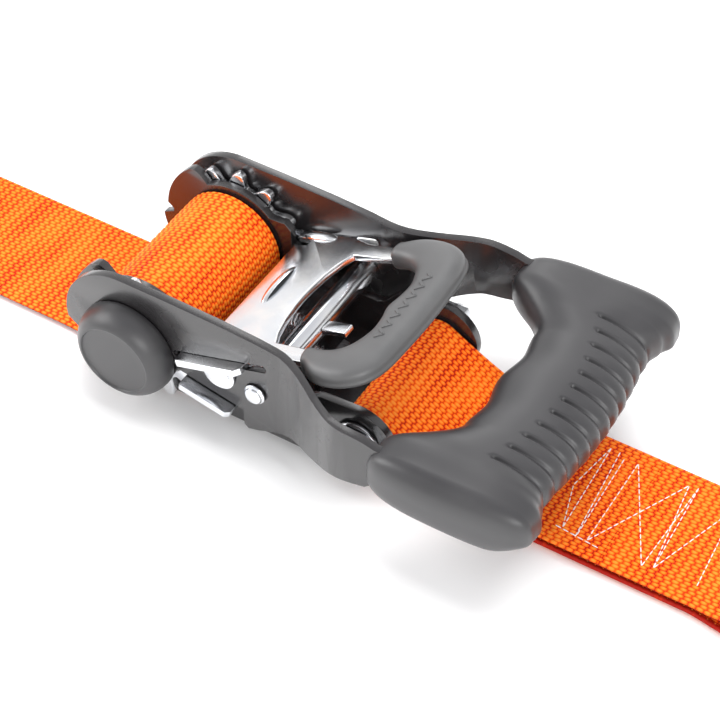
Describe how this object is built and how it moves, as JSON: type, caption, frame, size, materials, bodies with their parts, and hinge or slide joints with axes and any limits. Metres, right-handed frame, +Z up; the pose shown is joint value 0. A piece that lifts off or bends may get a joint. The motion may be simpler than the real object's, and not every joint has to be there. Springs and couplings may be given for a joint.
{
  "type": "ratchet strap",
  "caption": "Ratchet strap with a rubber-gripped long handle, a release loop, woven webbing and double-J wire hooks at both ends.",
  "frame": {"origin": "on the ground below the spool axis, midway across the strap", "axes": "+X along the strap towards the short end and the handle's grip, +Y along the spool axis, +Z up"},
  "size_m": [0.6099, 0.1136, 0.0971],
  "materials": {
    "black_painted_steel": "semi-gloss, worn at the edges",
    "zinc_plated_steel": "zinc plated, satin",
    "black_rubber": "matte",
    "orange_polyester_webbing": "woven polyester"
  },
  "bodies": {
    "base": {"base_frame": "black_painted_steel", "anchor_bolt": "zinc_plated_steel", "anchor_cap_nut": "zinc_plated_steel", "anchor_washer_near": "zinc_plated_steel", "anchor_washer_far": "zinc_plated_steel", "anchor_sleeve": "zinc_plated_steel", "short_webbing": "orange_polyester_webbing", "long_webbing_flat": "orange_polyester_webbing", "long_webbing_roll": "orange_polyester_webbing", "long_webbing_end": "orange_polyester_webbing", "stop_pawl_spring": "zinc_plated_steel"},
    "spool": {"mandrel_upper_half": "zinc_plated_steel", "mandrel_lower_half": "zinc_plated_steel", "ratchet_wheel_near": "zinc_plated_steel", "ratchet_wheel_far": "zinc_plated_steel", "spool_washer_near": "zinc_plated_steel", "spool_washer_far": "zinc_plated_steel", "spool_clip_near": "zinc_plated_steel", "spool_clip_far": "zinc_plated_steel", "hub_cap_near": "black_rubber", "hub_cap_far": "black_rubber", "wound_webbing": "orange_polyester_webbing"},
    "handle": {"handle_plate_near": "black_painted_steel", "handle_plate_far": "black_painted_steel", "handle_grip": "black_rubber", "grip_core_rod": "zinc_plated_steel", "crossbar_tube": "zinc_plated_steel", "crossbar_rivet_near": "zinc_plated_steel", "crossbar_rivet_far": "zinc_plated_steel", "lever_guide_near": "zinc_plated_steel", "lever_guide_far": "zinc_plated_steel", "release_spring": "zinc_plated_steel"},
    "release": {"release_lever": "zinc_plated_steel", "release_loop_cover": "black_rubber"},
    "stop": {"stop_pawl": "zinc_plated_steel"},
    "short_hook": {"short_end_hook": "zinc_plated_steel"},
    "long_hook": {"long_end_hook": "zinc_plated_steel"}
  },
  "joints": [
    {"name": "handle_swing", "type": "hinge", "parent": "base", "child": "handle", "pos_m": [0, 0, 0.0252], "axis": [0, -1, 0], "range_deg": [0, 150]},
    {"name": "spool_spin", "type": "hinge", "parent": "base", "child": "spool", "pos_m": [0, 0, 0.0252], "axis": [0, -1, 0], "continuous": true},
    {"name": "release_slide", "type": "slide", "parent": "handle", "child": "release", "axis": [0.95, 0, 0.3123], "range_m": [-0.0026, 0.0049], "stiffness_N_per_m": 400, "deforming": ["release_spring"]},
    {"name": "stop_pawl_slide", "type": "slide", "parent": "base", "child": "stop", "axis": [0.9789, 0, -0.2045], "range_m": [-0.0024, 0.0025], "stiffness_N_per_m": 400, "deforming": ["stop_pawl_spring"]},
    {"name": "short_hook_swing", "type": "hinge", "parent": "base", "child": "short_hook", "pos_m": [0.232, 0, 0.0067], "axis": [0, -1, 0], "range_deg": [0, 90]},
    {"name": "long_hook_swing", "type": "hinge", "parent": "base", "child": "long_hook", "pos_m": [-0.2627, 0, 0.07245], "axis": [0, 1, 0], "range_deg": [0, 75]}
  ]
}
